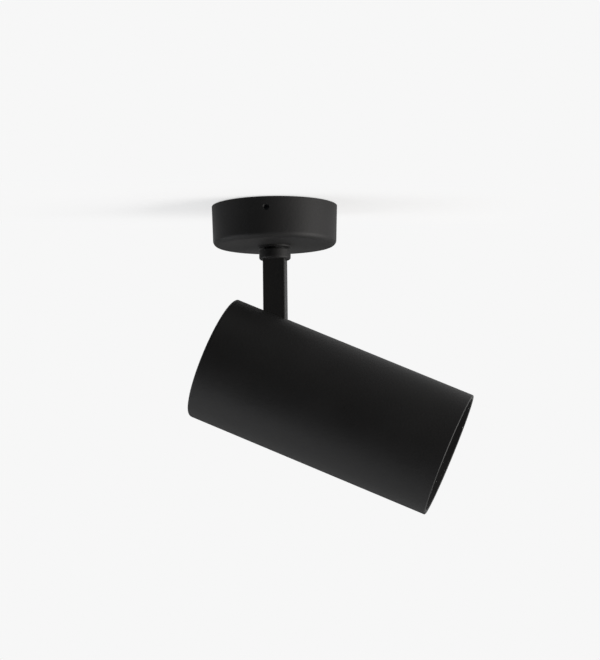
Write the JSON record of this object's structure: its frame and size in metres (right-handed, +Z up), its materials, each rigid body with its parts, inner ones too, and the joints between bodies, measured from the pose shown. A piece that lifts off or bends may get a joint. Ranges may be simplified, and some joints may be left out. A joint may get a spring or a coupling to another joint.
{
  "type": "surface mounted ceiling spotlight",
  "caption": "Surface mounted ceiling spotlight: a deep cylindrical head that tilts on a square arm, which turns under a shallow round canopy.",
  "frame": {"origin": "centre of the mounting plate's upper face, on the swivel axis and in the ceiling plane", "axes": "+Z up into the ceiling, +X the side the head points to at rest, +Y along the tilt axis"},
  "size_m": [0.1788, 0.08, 0.1964],
  "materials": {
    "black_coat": "smooth matt black powder coat",
    "black_bush": "moulded, matt",
    "black_screw": "black oxide",
    "zinc_steel": "bright zinc plated",
    "spring_steel": "oiled spring steel",
    "grommet_rubber": "matt",
    "block_plastic": "moulded, satin",
    "terminal_brass": "plain turned",
    "tinned_copper": "tin plated",
    "lead_sheath": "extruded, matt",
    "led_wire": "extruded insulation",
    "friction_plastic": "natural, low friction",
    "bare_aluminium": "extruded and machined",
    "reflector_aluminium": "bright anodised",
    "driver_plastic": "moulded case, potted",
    "board_aluminium": "white solder mask",
    "phosphor": "cast silicone",
    "holder_plastic": "moulded",
    "gasket_silicone": "translucent",
    "clear_glass": "toughened, clear",
    "baffle_black": "dead matt black"
  },
  "bodies": {
    "base": {"mounting_plate": "zinc_steel", "cable_grommet": "grommet_rubber", "canopy": "black_coat", "canopy_grub_screws": "black_screw", "terminal_block": "block_plastic", "terminal_tubes": "terminal_brass", "terminal_screws": "zinc_steel", "block_screw": "zinc_steel", "earth_tag": "tinned_copper", "earth_screw": "zinc_steel", "supply_lead": "lead_sheath", "swivel_bush": "black_bush", "stop_pin": "zinc_steel"},
    "swivel_arm": {"swivel_stem": "zinc_steel", "friction_washer": "friction_plastic", "stop_washer": "zinc_steel", "disc_spring": "spring_steel", "swivel_nuts": "zinc_steel", "swivel_collar": "black_coat", "arm": "black_coat", "pivot_tube": "zinc_steel", "pivot_friction_washers": "friction_plastic", "pivot_washers": "zinc_steel", "pivot_springs": "spring_steel", "pivot_nuts": "zinc_steel", "arm_lead": "lead_sheath"},
    "lamp_head": {"head_tube": "black_coat", "tube_screws": "black_screw", "rear_cap": "black_coat", "rear_cap_screws": "black_screw", "spacer_posts": "zinc_steel", "yoke": "zinc_steel", "yoke_screws": "zinc_steel", "heat_sink": "bare_aluminium", "driver_tray": "zinc_steel", "tray_screws": "zinc_steel", "driver": "driver_plastic", "driver_screws": "zinc_steel", "head_lead": "lead_sheath", "led_leads": "led_wire", "led_board": "board_aluminium", "led_emitter": "phosphor", "led_holder": "holder_plastic", "holder_screws": "zinc_steel", "reflector": "reflector_aluminium", "glass_gasket": "gasket_silicone", "front_glass": "clear_glass", "baffle_ring": "baffle_black"}
  },
  "joints": [
    {"name": "pan", "type": "hinge", "parent": "base", "child": "swivel_arm", "pos_m": [0, 0, 0], "axis": [0, 0, 1], "range_deg": [-170, 170]},
    {"name": "tilt", "type": "hinge", "parent": "swivel_arm", "child": "lamp_head", "pos_m": [0, 0, -0.113], "axis": [0, 1, 0], "range_deg": [0, 66.5]}
  ]
}
